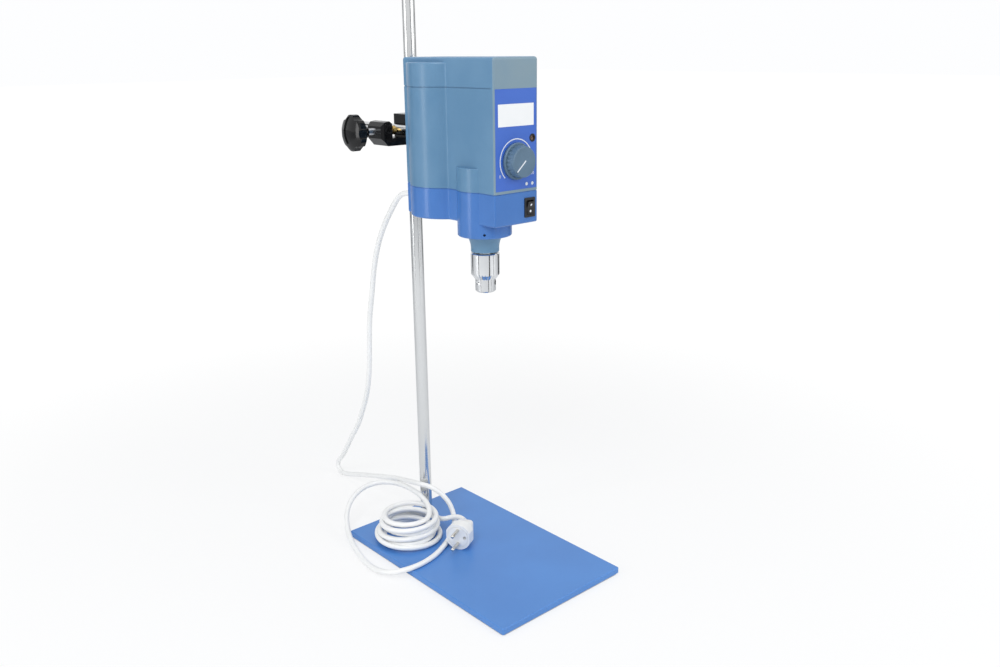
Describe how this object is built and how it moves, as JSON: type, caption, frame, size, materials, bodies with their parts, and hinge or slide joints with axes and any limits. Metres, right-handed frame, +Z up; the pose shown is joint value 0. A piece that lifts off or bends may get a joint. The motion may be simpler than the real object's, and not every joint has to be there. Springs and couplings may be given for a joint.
{
  "type": "overhead stirrer",
  "caption": "Overhead stirrer on a flat base plate: a slim motor head with a display, speed knob and keyed chuck, held on a rod by a boss head and extension arm.",
  "frame": {"origin": "on the stand rod's axis, at the level of the bench that the plate's rubber sheet lies on", "axes": "+Z up along the stand rod, -Y towards the front of the head, +X to the right seen from the front"},
  "size_m": [0.2311, 0.5115, 0.8],
  "materials": {
    "plate_paint": "satin blue paint",
    "mat_rubber": "matt",
    "rod_steel": "fine brushed",
    "screw_steel": "plain",
    "clamp_black": "glossy black paint",
    "knob_black": "gloss",
    "pad_brass": "plain",
    "shell_grey_blue": "satin",
    "shell_blue": "satin paint",
    "nose_grey": "satin",
    "flange_alu": "turned",
    "bracket_steel": "zinc plated",
    "belt_rubber": "matt",
    "panel_blue": "printed film",
    "window_white": "pale display",
    "board_green": "laminate",
    "module_dark": "matt",
    "black_plastic": "fine grain",
    "trim_brown": "matt",
    "lamp_plastic": "clear tinted",
    "knob_slate": "fine grain",
    "chuck_chrome": "polished",
    "chuck_steel": "ground",
    "cord_white": "smooth",
    "plug_white": "smooth",
    "pin_metal": "nickel plated"
  },
  "bodies": {
    "stand": {"base_plate": "plate_paint", "plate_mat": "mat_rubber", "stand_rod": "rod_steel", "rod_bolt": "screw_steel", "mains_cord": "cord_white", "cord_coil": "cord_white", "plug_lead": "cord_white", "plug_body": "plug_white", "plug_pins": "pin_metal"},
    "clamp": {"clamp_body": "clamp_black"},
    "arm_pad": {"arm_clamp_pad": "pad_brass"},
    "arm_screw": {"arm_clamp_screw": "screw_steel", "arm_clamp_knob": "knob_black"},
    "rod_pad": {"rod_clamp_pad": "pad_brass"},
    "rod_screw": {"rod_clamp_screw": "screw_steel", "rod_clamp_knob": "knob_black"},
    "arm": {"extension_arm": "rod_steel"},
    "head": {"upper_housing": "shell_grey_blue", "lower_housing": "shell_blue", "housing_screws": "screw_steel", "arm_flange": "flange_alu", "flange_screws": "screw_steel", "spindle_bearings": "screw_steel", "spindle_nose": "nose_grey", "drive_belt": "belt_rubber", "motor_bracket": "bracket_steel", "motor_can": "flange_alu", "front_panel": "panel_blue", "display_window": "window_white", "circuit_board": "board_green", "display_module": "module_dark", "speed_setter": "module_dark", "trim_bush": "black_plastic", "panel_lamps": "lamp_plastic", "switch_frame": "black_plastic", "cord_gland": "cord_white"},
    "spindle": {"spindle_shaft": "chuck_steel", "spindle_pulley": "flange_alu", "snap_ring": "screw_steel", "chuck_body": "chuck_steel"},
    "motor": {"motor_shaft": "rod_steel", "motor_pulley": "flange_alu"},
    "sleeve": {"chuck_sleeve": "chuck_chrome", "chuck_nut": "chuck_steel"},
    "jaw_1": {"chuck_jaw_1": "chuck_steel"},
    "jaw_2": {"chuck_jaw_2": "chuck_steel"},
    "jaw_3": {"chuck_jaw_3": "chuck_steel"},
    "speed_knob": {"speed_knob": "knob_slate", "knob_shaft": "rod_steel"},
    "trim": {"trim_screw": "trim_brown"},
    "rocker": {"rocker": "black_plastic"}
  },
  "joints": [
    {"name": "clamp_height", "type": "slide", "parent": "stand", "child": "clamp", "axis": [0, 0, 1], "range_m": [-0.34, 0.21], "deforming": ["mains_cord"]},
    {"name": "arm_reach", "type": "slide", "parent": "clamp", "child": "arm", "axis": [0, -1, 0], "range_m": [-0.02, 0.07], "deforming": ["mains_cord"]},
    {"name": "head_roll", "type": "hinge", "parent": "arm", "child": "head", "pos_m": [-0.021, -0.0525, 0.552], "axis": [0, 1, 0], "range_deg": [-45, 45], "deforming": ["mains_cord"]},
    {"name": "arm_pad_slide", "type": "slide", "parent": "clamp", "child": "arm_pad", "axis": [-1, 0, 0], "range_m": [0, 0.00501]},
    {"name": "arm_screw_turn", "type": "hinge", "parent": "arm_pad", "child": "arm_screw", "pos_m": [-0.05, 0, 0.552], "axis": [-1, 0, 0], "range_deg": [0, 1440]},
    {"name": "rod_pad_slide", "type": "slide", "parent": "clamp", "child": "rod_pad", "axis": [1, 0, 0], "range_m": [0, 0.00501]},
    {"name": "rod_screw_turn", "type": "hinge", "parent": "rod_pad", "child": "rod_screw", "pos_m": [0.03, 0, 0.552], "axis": [1, 0, 0], "range_deg": [0, 1440]},
    {"name": "spindle_spin", "type": "hinge", "parent": "head", "child": "spindle", "pos_m": [-0.026, -0.165, 0.44], "axis": [0, 0, 1], "continuous": true},
    {"name": "motor_spin", "type": "hinge", "parent": "head", "child": "motor", "pos_m": [-0.026, -0.0965, 0.48], "axis": [0, 0, 1], "continuous": true},
    {"name": "sleeve_turn", "type": "hinge", "parent": "spindle", "child": "sleeve", "pos_m": [-0.026, -0.165, 0.41], "axis": [0, 0, 1], "range_deg": [0, 3866]},
    {"name": "jaw_1_slide", "type": "slide", "parent": "spindle", "child": "jaw_1", "axis": [-0.2419, 0, -0.9703], "range_m": [0, 0.01505]},
    {"name": "jaw_2_slide", "type": "slide", "parent": "spindle", "child": "jaw_2", "axis": [0.121, -0.2095, -0.9703], "range_m": [0, 0.01505]},
    {"name": "jaw_3_slide", "type": "slide", "parent": "spindle", "child": "jaw_3", "axis": [0.121, 0.2095, -0.9703], "range_m": [0, 0.01505]},
    {"name": "speed_turn", "type": "hinge", "parent": "head", "child": "speed_knob", "pos_m": [-0.0185, -0.2125, 0.5295], "axis": [0, 1, 0], "range_deg": [0, 270]},
    {"name": "trim_turn", "type": "hinge", "parent": "head", "child": "trim", "pos_m": [0.0055, -0.2085, 0.553], "axis": [0, 1, 0], "range_deg": [-135, 135]},
    {"name": "rocker_tilt", "type": "hinge", "parent": "head", "child": "rocker", "pos_m": [0.0011, -0.2083, 0.477], "axis": [-1, 0, 0], "range_deg": [0, 18]}
  ],
  "couplings": [
    {"joint": "arm_pad_slide", "follows": "arm_screw_turn", "m_per_rad": 0.00019894},
    {"joint": "rod_pad_slide", "follows": "rod_screw_turn", "m_per_rad": 0.00019894},
    {"joint": "motor_spin", "follows": "spindle_spin", "ratio": 2},
    {"joint": "jaw_1_slide", "follows": "sleeve_turn", "m_per_rad": 0.00022282},
    {"joint": "jaw_2_slide", "follows": "sleeve_turn", "m_per_rad": 0.00022282},
    {"joint": "jaw_3_slide", "follows": "sleeve_turn", "m_per_rad": 0.00022282}
  ]
}
